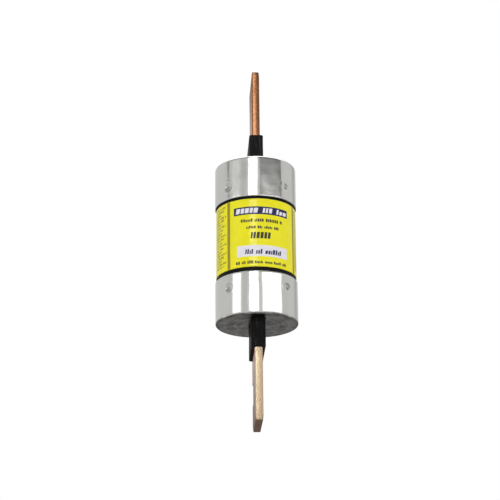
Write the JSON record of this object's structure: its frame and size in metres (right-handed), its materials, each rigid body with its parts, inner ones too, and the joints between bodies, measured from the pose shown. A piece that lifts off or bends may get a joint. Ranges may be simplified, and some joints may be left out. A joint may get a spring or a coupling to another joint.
{
  "type": "knife blade cartridge fuse",
  "caption": "Cylindrical cartridge fuse with plated end caps, a wrap-round label, insulated blade necks and flat copper knife blades, the lower one with a rejection notch.",
  "frame": {"origin": "the middle of the tube, which is the middle of the whole fuse", "axes": "+Z along the fuse towards the blade that has no notch; the blades stand in the plane X = 0 with their width along Y, and the rejection notch opens towards +Y"},
  "size_m": [0.0658, 0.0658, 0.2954],
  "materials": {
    "plated_cap": "satin",
    "copper_blade": "satin",
    "element_copper": "satin",
    "tube_laminate": "satin",
    "label_film": "satin",
    "sleeve_black": "satin",
    "block_brass": "satin",
    "drive_pin_steel": "satin",
    "red_fibre": "matte",
    "buff_fibre": "matte",
    "quartz_sand": "matte",
    "solder_alloy": "satin",
    "spring_steel": "polished",
    "trigger_brass": "satin"
  },
  "bodies": {
    "case": {"body_tube": "tube_laminate", "label": "label_film", "upper_cap": "plated_cap", "lower_cap": "plated_cap", "upper_cap_pins": "drive_pin_steel", "lower_cap_pins": "drive_pin_steel", "upper_blade": "copper_blade", "lower_blade": "copper_blade", "upper_blade_sleeve": "sleeve_black", "lower_blade_sleeve": "sleeve_black", "upper_terminal_block": "block_brass", "lower_terminal_block": "block_brass", "upper_terminal_pins": "drive_pin_steel", "lower_terminal_pins": "drive_pin_steel", "upper_sealing_washer": "red_fibre", "lower_sealing_washer": "red_fibre", "filler_plug": "block_brass", "left_element_strip": "element_copper", "centre_element_strip": "element_copper", "right_element_strip": "element_copper", "sand_filler": "quartz_sand", "strip_bridge": "element_copper", "barrier_disc": "red_fibre", "heat_absorber": "element_copper", "fusing_alloy": "solder_alloy", "spring_seat": "buff_fibre", "trigger_spring": "spring_steel", "contact_tube": "trigger_brass", "chamber_spacer": "red_fibre"},
    "trigger": {"trigger_plunger": "trigger_brass", "trigger_washer": "buff_fibre"}
  },
  "joints": [
    {"name": "trigger_release", "type": "slide", "parent": "case", "child": "trigger", "axis": [0, 0, 1], "range_m": [0, 0.012], "deforming": ["trigger_spring"]}
  ]
}
